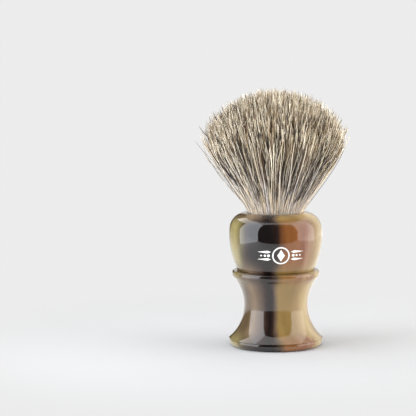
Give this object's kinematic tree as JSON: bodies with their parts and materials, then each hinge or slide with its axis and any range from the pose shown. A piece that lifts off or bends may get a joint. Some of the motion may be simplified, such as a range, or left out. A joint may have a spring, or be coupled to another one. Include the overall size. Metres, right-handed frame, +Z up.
{
  "type": "shaving brush",
  "caption": "Shaving brush with a turned horn-pattern resin handle, waisted below a lip and bulb, holding a domed fan of badger hair.",
  "frame": {"origin": "centre of the foot's flat underside", "axes": "+Z up along the brush's axis towards the hair tips, -Y towards the printed side of the handle, +X to the right when looking at the printed side"},
  "size_m": [0.0584, 0.0584, 0.1028],
  "materials": {
    "horn_resin": "gloss",
    "white_ink": "satin",
    "amber_adhesive": "gloss",
    "cup_plastic": "satin",
    "plug_resin": "gloss",
    "cotton_thread": "matte",
    "badger_hair": "satin"
  },
  "bodies": {
    "handle": {"handle": "horn_resin", "printed_mark": "white_ink", "socket_adhesive": "amber_adhesive", "knot_cup": "cup_plastic", "knot_plug": "plug_resin", "binding_thread": "cotton_thread", "hair_roots": "badger_hair"},
    "tuft": {"bristle_tuft": "badger_hair"}
  },
  "joints": [
    {"name": "tuft_flex", "type": "hinge", "parent": "handle", "child": "tuft", "pos_m": [0, 0, 0.0528], "axis": [0, 1, 0], "range_deg": [-20, 20], "stiffness_Nm_per_rad": 0.12}
  ]
}
